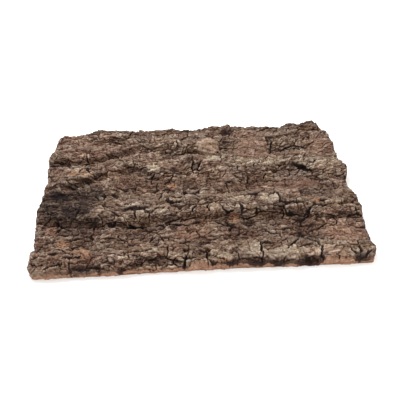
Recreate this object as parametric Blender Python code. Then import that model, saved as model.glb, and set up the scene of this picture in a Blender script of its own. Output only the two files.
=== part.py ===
"""A flat slab of virgin cork-oak bark, sawn to a rectangle.

The slab lies on its flat inner face, with its rough outer face up. The grain and the ridges run along X.
The origin is the middle of the flat underside, +X is the long side and +Z points out of the bark.
"""

import math

import bmesh
import bpy
import numpy as np

# Driving dimensions, in metres.
MM = 0.001
LENGTH = 600 * MM
WIDTH = 400 * MM
CREST_HEIGHT = 37 * MM
CELLS_ALONG = 50
CELLS_ACROSS = 64

# Relief, in millimetres. The sheet is the cork left under the furrows.
SHEET_THICKNESS = 13.0
BACK_RUN = 24.0
BLEND = 2.0

# Each ridge is a list of stations from left to right:
# (x, y of its brow, height of its top, width of its top, run of its front), in millimetres.
# It rises steeply to the brow from the -Y side, and falls gently away on the +Y side.
RIDGES = {
    "front": (
        (-300, -195, 25, 30, 13), (-230, -194, 25, 30, 13), (-160, -196, 24, 28, 12),
        (-135, -190, 27, 24, 12), (-112, -177, 28, 20, 12), (-60, -176, 28, 20, 12),
        (-35, -187, 28, 26, 12), (0, -201, 28, 32, 11), (35, -200, 28, 36, 11),
        (62, -193, 28, 34, 13), (130, -192, 29, 34, 14), (195, -192, 28, 30, 14),
        (215, -199, 26, 32, 11), (250, -199, 26, 30, 11), (275, -195, 26, 28, 13),
        (300, -194, 24, 26, 13),
    ),
    "middle": (
        (-300, -70, 27, 34, 12), (-230, -72, 29, 34, 12), (-180, -82, 31, 38, 12),
        (-90, -79, 33, 44, 13), (-45, -78, 33, 48, 13), (0, -75, 34, 36, 13), (60, -74, 35, 38, 14),
        (110, -72, 37, 42, 16), (155, -74, 36, 40, 14), (182, -68, 32, 32, 12),
        (207, -84, 28, 34, 20), (250, -80, 27, 36, 26), (300, -74, 27, 36, 26),
    ),
    "inner": (
        (-300, 24, 26, 28, 14), (-230, 33, 28, 26, 12), (-170, 66, 30, 20, 14),
        (-118, 74, 31, 16, 16), (-80, 46, 31, 24, 18), (-45, 50, 25, 30, 26),
        (0, 74, 28, 20, 34), (25, 58, 31, 28, 38), (50, 45, 32, 38, 38),
        (90, 43, 34, 40, 38), (135, 45, 33, 36, 36), (165, 60, 31, 28, 36),
        (215, 62, 31, 26, 28), (240, 34, 29, 40, 20), (300, 34, 28, 40, 24),
    ),
    "outer": (
        (-300, 104, 29, 22, 10), (-230, 107, 31, 22, 10), (-165, 118, 30, 20, 14),
        (-110, 146, 31, 18, 18), (-60, 136, 33, 24, 20), (-20, 129, 33, 30, 20),
        (12, 144, 34, 20, 32), (65, 149, 33, 18, 34), (105, 138, 34, 26, 36),
        (165, 138, 32, 26, 32), (240, 128, 33, 30, 24), (300, 126, 31, 30, 26),
    ),
    "rim": (
        (-300, 174, 23, 40, 12), (-250, 176, 20, 40, 12), (-190, 176, 30, 40, 16),
        (-150, 178, 27, 40, 14), (-100, 176, 24, 40, 12), (-60, 176, 28, 40, 14),
        (0, 176, 27, 40, 12), (40, 178, 31, 40, 14), (75, 178, 33, 40, 14),
        (115, 174, 24, 40, 12), (165, 174, 25, 40, 12), (215, 176, 27, 40, 14),
        (260, 180, 31, 40, 14), (300, 178, 28, 40, 12),
    ),
}

# Where the sides lie, in millimetres: (position along the side, how far the side stands in).
LEFT_SIDE = (
    (-200, 6), (-190, 2), (-150, 2), (-138, 6), (-125, 3), (-75, 0), (-40, 2), (0, 1), (14, 3),
    (32, 9), (60, 6), (85, 0), (125, 4), (155, 8), (185, 12), (200, 24),
)
RIGHT_SIDE = (
    (-200, 8), (-188, 2), (-175, 1), (-125, 1), (-75, 0), (-30, 3), (0, 8), (45, 0), (76, 11),
    (105, 4), (130, 9), (150, 12), (180, 23), (200, 36),
)
FRONT_SIDE = (
    (-300, 3), (-285, 0), (-150, 0), (-90, 2), (60, 3), (150, 1), (285, 0), (300, 4),
)
BACK_SIDE = (
    (-300, 3), (-250, 1), (-190, 0), (-130, 2), (-60, 1), (0, 3), (60, 0), (120, 3), (190, 2),
    (250, 0), (300, 2),
)

# Uneven growth: (length of a swell along the grain, its width, its depth), in millimetres.
SWELLS = ((90, 42, 1.8), (44, 24, 1.5), (22, 13, 0.9))
BROW_WANDER = ((70, 60, 3.0), (30, 40, 2.2))
SWELL_SEED = 11
WANDER_SEED = 23

BARK_COLOUR = (0.155, 0.100, 0.075, 1.0)
BARK_ROUGHNESS = 0.95


def smoothstep(t):
    t = np.clip(t, 0.0, 1.0)
    return t * t * (3.0 - 2.0 * t)


def smooth_noise(x, y, length, width, seed):
    """Noise from -1 to 1 on a lattice of length by width millimetres."""
    columns = math.ceil(2 * 400 / length) + 2
    rows = math.ceil(2 * 300 / width) + 2
    lattice = np.random.default_rng(seed).uniform(-1.0, 1.0, (rows, columns))
    u = (x + 400) / length
    v = (y + 300) / width
    column = np.clip(np.floor(u).astype(int), 0, columns - 2)
    row = np.clip(np.floor(v).astype(int), 0, rows - 2)
    fu = smoothstep(u - column)
    fv = smoothstep(v - row)
    near = lattice[row, column] * (1 - fu) + lattice[row, column + 1] * fu
    far = lattice[row + 1, column] * (1 - fu) + lattice[row + 1, column + 1] * fu
    return near * (1 - fv) + far * fv


def layered_noise(x, y, layers, seed):
    return sum(
        depth * smooth_noise(x, y, length, width, seed + i)
        for i, (length, width, depth) in enumerate(layers)
    )


def along_track(position, stations, field):
    """One field of a list of stations, eased from each station to the next."""
    places = np.array([station[0] for station in stations], float)
    values = np.array([station[field] for station in stations], float)
    index = np.clip(np.searchsorted(places, position) - 1, 0, len(places) - 2)
    share = smoothstep((position - places[index]) / (places[index + 1] - places[index]))
    return values[index] * (1 - share) + values[index + 1] * share


def relief(x, y):
    """Height of the outer face above the flat one, in millimetres."""
    wander = layered_noise(x, y, BROW_WANDER, WANDER_SEED)
    tops = [np.full_like(x, SHEET_THICKNESS)]
    for stations in RIDGES.values():
        behind_brow = y + wander - along_track(x, stations, 1)
        height = along_track(x, stations, 2)
        top = along_track(x, stations, 3)
        run = along_track(x, stations, 4)
        rise = smoothstep((behind_brow + run) / run)
        fall = 1 - smoothstep((behind_brow - top) / BACK_RUN)
        tops.append(SHEET_THICKNESS + (height - SHEET_THICKNESS) * rise * fall)
    blended = BLEND * np.log(sum(np.exp(t / BLEND) for t in tops) / len(tops))
    return blended + layered_noise(x, y, SWELLS, SWELL_SEED)


def outer_face():
    """Grid of points on the outer face in metres, one row of points for each step across the grain."""
    u, v = np.meshgrid(np.linspace(0, 1, CELLS_ALONG + 1), np.linspace(0, 1, CELLS_ACROSS + 1))
    half_length = LENGTH / MM / 2
    half_width = WIDTH / MM / 2
    y = -half_width + v * 2 * half_width
    left = -half_length + along_track(y, LEFT_SIDE, 1)
    right = half_length - along_track(y, RIGHT_SIDE, 1)
    x = left + u * (right - left)
    y = y - v**8 * along_track(x, BACK_SIDE, 1) + (1 - v) ** 8 * along_track(x, FRONT_SIDE, 1)
    points = np.stack([x, y, relief(x, y)], axis=-1) * MM
    low = points.min(axis=(0, 1))
    high = points.max(axis=(0, 1))
    size = np.array([LENGTH, WIDTH, CREST_HEIGHT])
    points[..., :2] = (points[..., :2] - (low + high)[:2] / 2) * size[:2] / (high - low)[:2]
    points[..., 2] *= CREST_HEIGHT / high[2]
    return points


def rim_of(grid):
    """The grid's outer points in order, anticlockwise from above."""
    near = list(grid[0, :-1])
    right = list(grid[:-1, -1])
    far = list(grid[-1, :0:-1])
    left = list(grid[:0:-1, 0])
    return near + right + far + left


def make_slab():
    points = outer_face()
    slab = bmesh.new()
    grid = np.empty(points.shape[:2], object)
    for place in np.ndindex(grid.shape):
        grid[place] = slab.verts.new(points[place])
    for row in range(CELLS_ACROSS):
        for column in range(CELLS_ALONG):
            a = grid[row, column]
            b = grid[row, column + 1]
            c = grid[row + 1, column + 1]
            d = grid[row + 1, column]
            # Each cell is folded along its flatter diagonal, which follows the brows of the ridges.
            if abs(a.co.z - c.co.z) < abs(b.co.z - d.co.z):
                slab.faces.new((a, b, c))
                slab.faces.new((a, c, d))
            else:
                slab.faces.new((b, c, d))
                slab.faces.new((b, d, a))
    upper = rim_of(grid)
    lower = [slab.verts.new((vertex.co.x, vertex.co.y, 0.0)) for vertex in upper]
    for i in range(len(upper)):
        after = (i + 1) % len(upper)
        slab.faces.new((lower[i], lower[after], upper[after], upper[i]))
    slab.faces.new(lower[::-1])
    bmesh.ops.recalc_face_normals(slab, faces=slab.faces)
    mesh = bpy.data.meshes.new("cork_bark")
    slab.to_mesh(mesh)
    slab.free()
    return mesh


def bark_material():
    material = bpy.data.materials.new("bark")
    material.use_nodes = True
    shader = material.node_tree.nodes["Principled BSDF"]
    shader.inputs["Base Color"].default_value = BARK_COLOUR
    shader.inputs["Roughness"].default_value = BARK_ROUGHNESS
    shader.inputs["Metallic"].default_value = 0.0
    return material


def main():
    for old in list(bpy.data.objects):
        bpy.data.objects.remove(old, do_unlink=True)
    mesh = make_slab()
    mesh.materials.append(bark_material())
    slab = bpy.data.objects.new("cork_bark", mesh)
    bpy.context.scene.collection.objects.link(slab)


main()
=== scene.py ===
"""The looks of a flat slab of virgin cork-oak bark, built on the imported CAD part.

The slab's rough outer face is grown here at about a millimetre: ridges as in the CAD part, broken into
plates, ledges, cracks and crumbs, over sawn sides and a smoother inner face. Lengths in the relief are
millimetres; the mesh, the camera and the lights are in metres, in the CAD part's frame.
"""

import math
from collections import namedtuple

import bpy
import numpy as np
from mathutils import Matrix, Vector


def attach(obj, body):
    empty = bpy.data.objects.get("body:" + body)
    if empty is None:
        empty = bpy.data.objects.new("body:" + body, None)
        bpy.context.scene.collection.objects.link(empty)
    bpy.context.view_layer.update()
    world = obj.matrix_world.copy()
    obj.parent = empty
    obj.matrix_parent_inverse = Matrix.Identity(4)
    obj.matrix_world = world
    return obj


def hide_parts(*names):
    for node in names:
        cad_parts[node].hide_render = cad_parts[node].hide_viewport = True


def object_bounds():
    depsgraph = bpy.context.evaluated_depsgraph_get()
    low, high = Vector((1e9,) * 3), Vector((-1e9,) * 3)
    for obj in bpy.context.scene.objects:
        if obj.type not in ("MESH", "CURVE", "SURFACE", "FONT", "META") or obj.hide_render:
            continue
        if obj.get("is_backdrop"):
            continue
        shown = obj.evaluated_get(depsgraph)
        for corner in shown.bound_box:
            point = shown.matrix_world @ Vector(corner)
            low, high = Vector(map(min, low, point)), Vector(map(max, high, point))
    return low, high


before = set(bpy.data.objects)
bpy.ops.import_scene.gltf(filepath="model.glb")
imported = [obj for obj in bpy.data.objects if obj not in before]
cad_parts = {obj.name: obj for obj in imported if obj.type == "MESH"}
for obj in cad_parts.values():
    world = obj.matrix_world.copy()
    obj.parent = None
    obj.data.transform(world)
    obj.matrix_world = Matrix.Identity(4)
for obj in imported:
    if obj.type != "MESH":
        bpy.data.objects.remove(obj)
cad_low, cad_high = (np.array(corner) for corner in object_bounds())

MM = 0.001
NODE = "cork_bark"
SIZE = (cad_high - cad_low) / MM
HALF_LENGTH, HALF_WIDTH = SIZE[:2] / 2

# ---------------- the slab's relief, as in the CAD part

SHEET_THICKNESS = 13.0
BACK_RUN = 24.0
BLEND = 2.0

# Stations of each ridge: (x, y of its brow, height of its top, width of its top, run of its front).
RIDGES = {
    "front": (
        (-300, -195, 25, 30, 13), (-230, -194, 25, 30, 13), (-160, -196, 24, 28, 12),
        (-135, -190, 27, 24, 12), (-112, -177, 28, 20, 12), (-60, -176, 28, 20, 12),
        (-35, -187, 28, 26, 12), (0, -201, 28, 32, 11), (35, -200, 28, 36, 11), (62, -193, 28, 34, 13),
        (130, -192, 29, 34, 14), (195, -192, 28, 30, 14), (215, -199, 26, 32, 11),
        (250, -199, 26, 30, 11), (275, -195, 26, 28, 13), (300, -194, 24, 26, 13),
    ),
    "middle": (
        (-300, -70, 27, 34, 12), (-230, -72, 29, 34, 12), (-180, -82, 31, 38, 12), (-90, -79, 33, 44, 13),
        (-45, -78, 33, 48, 13), (0, -75, 34, 36, 13), (60, -74, 35, 38, 14), (110, -72, 37, 42, 16),
        (155, -74, 36, 40, 14), (182, -68, 32, 32, 12), (207, -84, 28, 34, 20), (250, -80, 27, 36, 26),
        (300, -74, 27, 36, 26),
    ),
    "inner": (
        (-300, 24, 26, 28, 14), (-230, 33, 28, 26, 12), (-170, 66, 30, 20, 14), (-118, 74, 31, 16, 16),
        (-80, 46, 31, 24, 18), (-45, 50, 25, 30, 26), (0, 74, 28, 20, 34), (25, 58, 31, 28, 38),
        (50, 45, 32, 38, 38), (90, 43, 34, 40, 38), (135, 45, 33, 36, 36), (165, 60, 31, 28, 36),
        (215, 62, 31, 26, 28), (240, 34, 29, 40, 20), (300, 34, 28, 40, 24),
    ),
    "outer": (
        (-300, 104, 29, 22, 10), (-230, 107, 31, 22, 10), (-165, 118, 30, 20, 14),
        (-110, 146, 31, 18, 18), (-60, 136, 33, 24, 20), (-20, 129, 33, 30, 20), (12, 144, 34, 20, 32),
        (65, 149, 33, 18, 34), (105, 138, 34, 26, 36), (165, 138, 32, 26, 32), (240, 128, 33, 30, 24),
        (300, 126, 31, 30, 26),
    ),
    "rim": (
        (-300, 174, 23, 40, 12), (-250, 176, 20, 40, 12), (-190, 176, 30, 40, 16),
        (-150, 178, 27, 40, 14), (-100, 176, 24, 40, 12), (-60, 176, 28, 40, 14), (0, 176, 27, 40, 12),
        (40, 178, 31, 40, 14), (75, 178, 33, 40, 14), (115, 174, 24, 40, 12), (165, 174, 25, 40, 12),
        (215, 176, 27, 40, 14), (260, 180, 31, 40, 14), (300, 178, 28, 40, 12),
    ),
}

# Sides: (position along the side, how far the side stands in).
LEFT_SIDE = (
    (-200, 6), (-190, 2), (-150, 2), (-138, 6), (-125, 3), (-75, 0), (-40, 2), (0, 1), (14, 3),
    (32, 9), (60, 6), (85, 0), (125, 4), (155, 8), (185, 12), (200, 24),
)
RIGHT_SIDE = (
    (-200, 8), (-188, 2), (-175, 1), (-125, 1), (-75, 0), (-30, 3), (0, 8), (45, 0), (76, 11),
    (105, 4), (130, 9), (150, 12), (180, 23), (200, 36),
)
FRONT_SIDE = (
    (-300, 3), (-285, 0), (-150, 0), (-90, 2), (60, 3), (150, 1), (285, 0), (300, 4),
)
BACK_SIDE = (
    (-300, 3), (-250, 1), (-190, 0), (-130, 2), (-60, 1), (0, 3), (60, 0), (120, 3), (190, 2),
    (250, 0), (300, 2),
)

SWELLS = ((90, 42, 1.8), (44, 24, 1.5), (22, 13, 0.9))
BROW_WANDER = ((70, 60, 3.0), (30, 40, 2.2))
SWELL_SEED = 11
WANDER_SEED = 23

# The noise lattice reaches this far from the slab's middle.
LATTICE_HALF_LENGTH = 400
LATTICE_HALF_WIDTH = 300


def smoothstep(t):
    t = np.clip(t, 0.0, 1.0)
    return t * t * (3.0 - 2.0 * t)


def between(low, high, value):
    """0 where value is below low, 1 where it is above high, eased between."""
    return smoothstep((value - low) / (high - low))


def lattice_noise(x, y, length, width, seed):
    """Noise from -1 to 1 on a lattice of length by width, as in the CAD part."""
    columns = math.ceil(2 * LATTICE_HALF_LENGTH / length) + 2
    rows = math.ceil(2 * LATTICE_HALF_WIDTH / width) + 2
    lattice = np.random.default_rng(seed).uniform(-1.0, 1.0, (rows, columns))
    u = (x + LATTICE_HALF_LENGTH) / length
    v = (y + LATTICE_HALF_WIDTH) / width
    column = np.clip(np.floor(u).astype(int), 0, columns - 2)
    row = np.clip(np.floor(v).astype(int), 0, rows - 2)
    fu = smoothstep(u - column)
    fv = smoothstep(v - row)
    near = lattice[row, column] * (1 - fu) + lattice[row, column + 1] * fu
    far = lattice[row + 1, column] * (1 - fu) + lattice[row + 1, column + 1] * fu
    return near * (1 - fv) + far * fv


def layered_noise(x, y, layers, seed):
    return sum(
        depth * lattice_noise(x, y, length, width, seed + i)
        for i, (length, width, depth) in enumerate(layers)
    )


def along_track(position, stations, field):
    """One field of a list of stations, eased from each station to the next."""
    places = np.array([station[0] for station in stations], float)
    values = np.array([station[field] for station in stations], float)
    index = np.clip(np.searchsorted(places, position) - 1, 0, len(places) - 2)
    share = smoothstep((position - places[index]) / (places[index + 1] - places[index]))
    return values[index] * (1 - share) + values[index + 1] * share


def relief(x, y):
    """Height of the outer face above the flat one, and how far each point is on a ridge's top, 0 to 1."""
    wander = layered_noise(x, y, BROW_WANDER, WANDER_SEED)
    tops = [np.full_like(x, SHEET_THICKNESS)]
    crown = np.zeros_like(x)
    for stations in RIDGES.values():
        behind_brow = y + wander - along_track(x, stations, 1)
        height = along_track(x, stations, 2)
        top = along_track(x, stations, 3)
        run = along_track(x, stations, 4)
        rise = smoothstep((behind_brow + run) / run)
        fall = 1 - smoothstep((behind_brow - top) / BACK_RUN)
        tops.append(SHEET_THICKNESS + (height - SHEET_THICKNESS) * rise * fall)
        crown = np.maximum(crown, rise * fall)
    blended = BLEND * np.log(sum(np.exp(t / BLEND) for t in tops) / len(tops))
    return blended + layered_noise(x, y, SWELLS, SWELL_SEED), crown


def sheet_points(u, v):
    """Points of the smooth outer face for shares u along the grain and v across it."""
    y = -HALF_WIDTH + v * 2 * HALF_WIDTH
    left = -HALF_LENGTH + along_track(y, LEFT_SIDE, 1)
    right = HALF_LENGTH - along_track(y, RIGHT_SIDE, 1)
    x = left + u * (right - left)
    y = y - v**8 * along_track(x, BACK_SIDE, 1) + (1 - v) ** 8 * along_track(x, FRONT_SIDE, 1)
    height, crown = relief(x, y)
    return np.stack([x, y, height], axis=-1), crown


# ---------------- noise and patterns for the fine surface

# Noises and cells repeat after this many lattice cells, a power of two.
REPEAT = 256
# How far a cell's middle strays, and a squared distance beyond any neighbour's, in lattice cells.
CELL_JITTER = 0.85
FAR = 9.0
# A crevice's width is worked out from a noise's slope, which is kept above the least one.
LEAST_STEP = 0.3
LEAST_SLOPE = 0.015


def gradient_noise(x, y, seed):
    """Smooth noise, about -1 to 1, with a lattice cell of one unit of x and y."""
    angle = np.random.default_rng(seed).uniform(0, 2 * math.pi, (REPEAT, REPEAT))
    gx, gy = np.cos(angle), np.sin(angle)
    column = np.floor(x).astype(int)
    row = np.floor(y).astype(int)
    fx = x - column
    fy = y - row

    def corner(dx, dy):
        place = (row + dy) & (REPEAT - 1), (column + dx) & (REPEAT - 1)
        return gx[place] * (fx - dx) + gy[place] * (fy - dy)

    sx = fx**3 * (fx * (fx * 6 - 15) + 10)
    sy = fy**3 * (fy * (fy * 6 - 15) + 10)
    near = corner(0, 0) * (1 - sx) + corner(1, 0) * sx
    far = corner(0, 1) * (1 - sx) + corner(1, 1) * sx
    return 1.5 * (near * (1 - sy) + far * sy)


def fractal(x, y, length, width, octaves, seed, gain=0.5, shift=(7.3, 3.1), bend=None):
    """Mean of gradient noises, bent if asked, from length by width down, each octave half as large."""
    total = 0.0
    reach = 0.0
    for octave in range(octaves):
        scale = 2.0**octave
        weight = gain**octave
        u = x / length * scale + shift[0] * octave
        v = y / width * scale + shift[1] * octave
        noise = gradient_noise(u, v, seed + octave)
        total = total + weight * (bend(noise) if bend else noise)
        reach += weight
    return total / reach


def billowed(noise):
    """Rounded bumps with sharp creases between them, 0 at a crease and about 0.4 on average."""
    return np.sqrt(np.abs(noise))


# At each point: the distance to the cell's border, two random numbers of the cell and the place in it.
Cells = namedtuple("Cells", "edge level tilt u v")


def cell_pattern(x, y, size, seed):
    """Uneven cells of about size, a length and a width."""
    rng = np.random.default_rng(seed)
    spots = rng.uniform(-0.5, 0.5, (REPEAT, REPEAT, 2)) * CELL_JITTER + 0.5
    numbers = rng.uniform(0.0, 1.0, (REPEAT, REPEAT, 2))
    place = np.stack([x, y], axis=-1) / size
    lattice = np.floor(place).astype(int)
    around = []
    for step in np.ndindex(3, 3):
        column, row = np.moveaxis(lattice + step - 1, -1, 0) & (REPEAT - 1)
        around.append((lattice + step - 1 + spots[row, column] - place, numbers[row, column]))

    nearest = np.full(x.shape, FAR)
    middle = np.zeros_like(place)
    number = np.zeros_like(place)
    for offset, its_number in around:
        distance = (offset**2).sum(axis=-1)
        closer = distance < nearest
        nearest = np.where(closer, distance, nearest)
        middle = np.where(closer[..., None], offset, middle)
        number = np.where(closer[..., None], its_number, number)
    border = np.full(x.shape, FAR * max(size))
    for offset, _ in around:
        across = offset - middle
        halfway = ((middle + across / 2) * across).sum(axis=-1)
        slope = np.maximum(np.linalg.norm(across / size, axis=-1), 1e-6)
        other = (across**2).sum(axis=-1) > 1e-6
        border = np.where(other, np.minimum(border, halfway / slope), border)
    return Cells(border, number[..., 0], number[..., 1], -middle[..., 0], -middle[..., 1])


def groove(distance, half_width):
    """1 in the middle of a crack, 0 beyond its lips."""
    return 1 - smoothstep(distance / half_width)


def gash(distance, half_width):
    """1 over the inner half of a crack, 0 beyond its lips."""
    return smoothstep(2 - 2 * distance / half_width)


def crevice(x, y, length, width, seed, half_width):
    """Winding lines where a noise changes sign: 1 in the line, 0 beyond half_width of it."""
    noise = gradient_noise(x / length, y / width, seed)
    slope_y, slope_x = np.gradient(noise)
    step_x = np.maximum(np.abs(np.gradient(x, axis=1)), LEAST_STEP)
    step_y = np.maximum(np.abs(np.gradient(y, axis=0)), LEAST_STEP)
    slope = np.hypot(softened(slope_x / step_x, 3, 3), softened(slope_y / step_y, 3, 3))
    return groove(np.abs(noise) / np.maximum(slope, LEAST_SLOPE), half_width)


def softened(field, radius_x, radius_y):
    """Moving average over the grid, taken twice, with its edge values carried outwards."""
    for axis, radius in ((0, radius_y), (1, radius_x)) * 2:
        if radius < 1:
            continue
        width = [(0, 0)] * field.ndim
        width[axis] = (radius + 1, radius)
        sums = np.cumsum(np.pad(field, width, mode="edge"), axis=axis)
        count = field.shape[axis]
        window = 2 * radius + 1
        high = np.take(sums, np.arange(window, window + count), axis=axis)
        low = np.take(sums, np.arange(0, count), axis=axis)
        field = (high - low) / window
    return field


def widened(field):
    """Each value raised to its neighbours' in the next rows, so that a crack's painted shade covers its
    walls.
    """
    rows = len(field)
    padded = np.pad(field, ((1, 1), (0, 0)), mode="edge")
    return np.maximum.reduce([padded[:rows], field, padded[2:]])


def terraces(value, step, riser):
    """value, drawn to flat treads a step apart with steep risers between."""
    whole = np.floor(value / step)
    share = value / step - whole
    return step * (whole + smoothstep((share - 0.5) / riser + 0.5))


def distance_to_path(x, y, path):
    """Distance from each point to a line through the path's points, and the share along it."""
    nearest = np.full(x.shape, np.inf)
    share = np.zeros(x.shape)
    pieces = len(path) - 1
    for i in range(pieces):
        (ax, ay), (bx, by) = path[i], path[i + 1]
        run_x, run_y = bx - ax, by - ay
        along = np.clip(((x - ax) * run_x + (y - ay) * run_y) / (run_x**2 + run_y**2), 0, 1)
        distance = np.hypot(x - ax - along * run_x, y - ay - along * run_y)
        closer = distance < nearest
        nearest = np.where(closer, distance, nearest)
        share = np.where(closer, (i + along) / pieces, share)
    return nearest, share


def blot(x, y, centre_x, centre_y, half_x, half_y):
    """1 in the middle of an ellipse, about a third at its half sizes, and 0 a little further out."""
    return np.exp(-((((x - centre_x) / half_x) ** 2 + ((y - centre_y) / half_y) ** 2) ** 2))


# ---------------- features of this piece, in millimetres

# Cracks: the half width at the widest, the depth and the points of the path.
CRACKS = (
    # Across the front ridge.
    (4.0, 8, (-266, -196), (-256, -191), (-246, -186), (-240, -190)),
    (4.2, 8, (-238, -168), (-224, -172), (-210, -167)),
    (1.4, 6, (-62, -158), (-60, -168), (-64, -180)),
    (2.0, 9, (-27, -172), (-30, -186), (-37, -204)),
    (1.2, 6, (-37, -186), (-30, -190), (-24, -188)),
    (1.9, 9, (3, -168), (6, -182), (5, -192), (8, -206)),
    (1.5, 7, (6, -190), (14, -196), (24, -198)),
    (2.0, 9, (98, -154), (101, -166), (98, -178), (100, -190), (97, -204)),
    (1.6, 7, (101, -160), (112, -158), (122, -164)),
    (2.4, 8, (144, -178), (154, -168), (163, -158), (170, -146), (184, -140)),
    (3.0, 8, (170, -146), (184, -148), (196, -156)),
    (2.1, 9, (186, -146), (197, -160), (203, -174), (200, -190), (203, -206)),
    (1.2, 6, (226, -192), (230, -200), (228, -207)),
    (3.0, 7, (254, -178), (258, -186), (263, -194)),
    (2.8, 7, (269, -174), (269, -183), (268, -193)),
    (2.6, 6, (286, -190), (279, -195), (273, -198)),
    # In the furrow behind it.
    (1.4, 6, (-262, -146), (-250, -142), (-240, -148)),
    (1.6, 7, (-128, -140), (-114, -146), (-104, -156)),
    (1.5, 6, (-84, -150), (-72, -146), (-66, -140)),
    (2.2, 7, (60, -132), (68, -126), (80, -130)),
    (1.3, 5, (112, -116), (124, -126), (138, -128)),
    (1.6, 6, (24, -88), (36, -94), (48, -100), (55, -112)),
    (1.3, 6, (-20, -96), (-34, -94), (-60, -92), (-84, -96)),
    (1.5, 7, (-132, -90), (-120, -96), (-104, -94)),
    # Across the middle ridge.
    (4.8, 6, (-137, -58), (-123, -58), (-113, -61), (-97, -60)),
    (1.8, 6, (-117, -64), (-118, -74), (-116, -84)),
    (3.0, 5, (-101, -72), (-93, -74), (-85, -70)),
    (1.3, 7, (-96, -70), (-92, -80), (-94, -90)),
    (5.4, 8, (-60, -37), (-56, -48), (-48, -52), (-33, -51)),
    (3.2, 6, (-44, -62), (-38, -67), (-27, -63)),
    (1.9, 8, (-7, -62), (-13, -68), (-13, -77)),
    (1.8, 8, (17, -59), (14, -67), (17, -76)),
    (2.1, 8, (39, -62), (42, -73), (50, -79), (62, -78)),
    (2.4, 8, (73, -60), (77, -70), (76, -80)),
    (2.1, 9, (147, -38), (151, -50), (147, -63)),
    (3.4, 7, (147, -61), (162, -66), (178, -63), (200, -64)),
    (2.2, 6, (150, -70), (158, -82), (176, -80), (190, -88), (199, -79)),
    (2.2, 7, (214, -62), (209, -72), (200, -80), (196, -90), (186, -97), (178, -104)),
    (3.0, 8, (212, -68), (228, -72), (244, -66)),
    (1.5, 7, (244, -92), (247, -104), (243, -112)),
    # In the wide furrow behind that.
    (2.6, 6, (-55, 2), (-64, -14), (-71, -30), (-75, -45)),
    (3.0, 5, (-169, -4), (-160, -5), (-152, -6)),
    (3.2, 6, (-170, -89), (-160, -90), (-153, -88)),
    (3.2, 6, (-134, -95), (-126, -96), (-117, -93)),
    (4.4, 7, (-29, -8), (-20, -13), (-10, -26), (0, -42)),
    (1.8, 6, (-78, 4), (-80, 14), (-76, 26)),
    (1.5, 6, (-180, 4), (-177, -14), (-184, -34)),
    # Across the inner and outer ridges.
    (1.5, 6, (-232, 58), (-226, 68), (-216, 66), (-206, 74)),
    (1.4, 6, (-216, 66), (-212, 56), (-200, 58)),
    (1.6, 6, (-104, 40), (-92, 36), (-80, 42)),
    (2.1, 9, (-4, 112), (-8, 94), (-5, 80), (-8, 62), (-6, 50)),
    (1.5, 7, (14, 76), (6, 68), (2, 56)),
    (1.5, 7, (54, 92), (50, 80), (54, 70), (48, 62)),
    (1.7, 8, (77, 64), (82, 54), (80, 40)),
    (1.4, 7, (112, 62), (116, 52), (113, 42)),
    (1.4, 6, (150, 54), (166, 50), (178, 54)),
    (4.2, 10, (188, 60), (202, 52), (216, 46), (226, 38)),
    (1.4, 6, (232, 76), (240, 66), (236, 56)),
    (1.5, 4, (160, 98), (157, 112), (161, 128), (158, 146)),
    (2.0, 7, (206, 142), (214, 132), (220, 138)),
    (1.4, 5, (178, 108), (192, 104), (204, 112)),
    (1.5, 6, (-150, 112), (-136, 108), (-118, 112)),
)

# Hollows worn in: the centre, the half sizes and the depth.
HOLLOWS = (
    (182, -198, 19, 6, 8), (48, -199, 15, 4, 5), (86, -198, 18, 5, 6), (130, -198, 16, 4, 4),
    (-200, -193, 24, 6, 4), (-224, -169, 13, 5, 3), (-50, -50, 10, 5, 5), (-20, -24, 13, 8, 5),
    (180, -96, 10, 9, 2.5), (176, -136, 10, 8, 4), (104, -36, 11, 6, 7), (204, 50, 12, 5, 4),
    (268, -205, 16, 11, 9), (-226, 36, 24, 4, 3), (-268, 96, 20, 6, 1.5), (50, -98, 10, 7, 5),
    (86, -100, 11, 12, 4), (-45, 56, 6, 8, 4), (262, -92, 30, 6, 1.5), (68, 168, 14, 8, 4),
    (-265, 0, 14, 12, 3), (-232, -62, 22, 9, 4), (-12, 88, 6, 12, 3),
)

# Painted shade round the deepest cracks: the half width, the strength and the points of the path.
CRACK_SHADES = (
    (9, 0.35, (214, -66), (206, -78), (194, -90), (182, -104)),
    (8, 0.5, (150, -66), (170, -80), (196, -78)),
    (9, 0.5, (176, -120), (174, -138)),
    (5, 0.6, (34, -198), (60, -200), (104, -198), (160, -200)),
    (6, 0.5, (-146, -58), (-98, -58)),
    (6, 0.6, (-66, -44), (-52, -56), (-22, -66)),
    (8, 0.5, (-40, -6), (-20, -24), (-4, -42)),
    (5, 0.7, (-240, 42), (-228, 50), (-200, 48), (-188, 56)),
    (3, 0.7, (-214, 48), (-218, 60), (-212, 76)),
    (3, 0.6, (-232, 56), (-230, 78)),
)

# Curled lips of bark: the half width, how far it stands up, how fresh its cork is and the path's points.
CURLS = (
    (5.0, 3.4, 0.5, (-226, -151), (-211, -152), (-201, -160), (-197, -173)),
    (5.0, 3.0, 0.15, (-146, -191), (-131, -181), (-119, -167), (-106, -160)),
    (4.0, 2.4, 0.0, (-103, -160), (-88, -166), (-66, -173)),
    (4.0, 1.8, 0.0, (-54, -32), (-44, -38), (-30, -40)),
    (3.0, 1.4, 0.0, (-48, -56), (-38, -59), (-28, -56)),
    (5.0, 1.0, 0.0, (-148, -68), (-128, -68), (-104, -70)),
    (5.0, 2.2, 0.0, (-165, 84), (-140, 78), (-112, 66)),
    (4.5, 2.6, 0.0, (196, 62), (208, 60), (220, 53)),
    (3.5, 2.0, 0.0, (-60, 150), (-34, 140), (-4, 146)),
)

# The knob in the front right corner: a raised ring, given by its centre and radius, round a dent.
KNOB = (268, -199, 5.5)
KNOB_RING_WIDTH = 2.4
KNOB_RING_HEIGHT = 3.4
KNOB_DEPTH = 3.0

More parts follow.
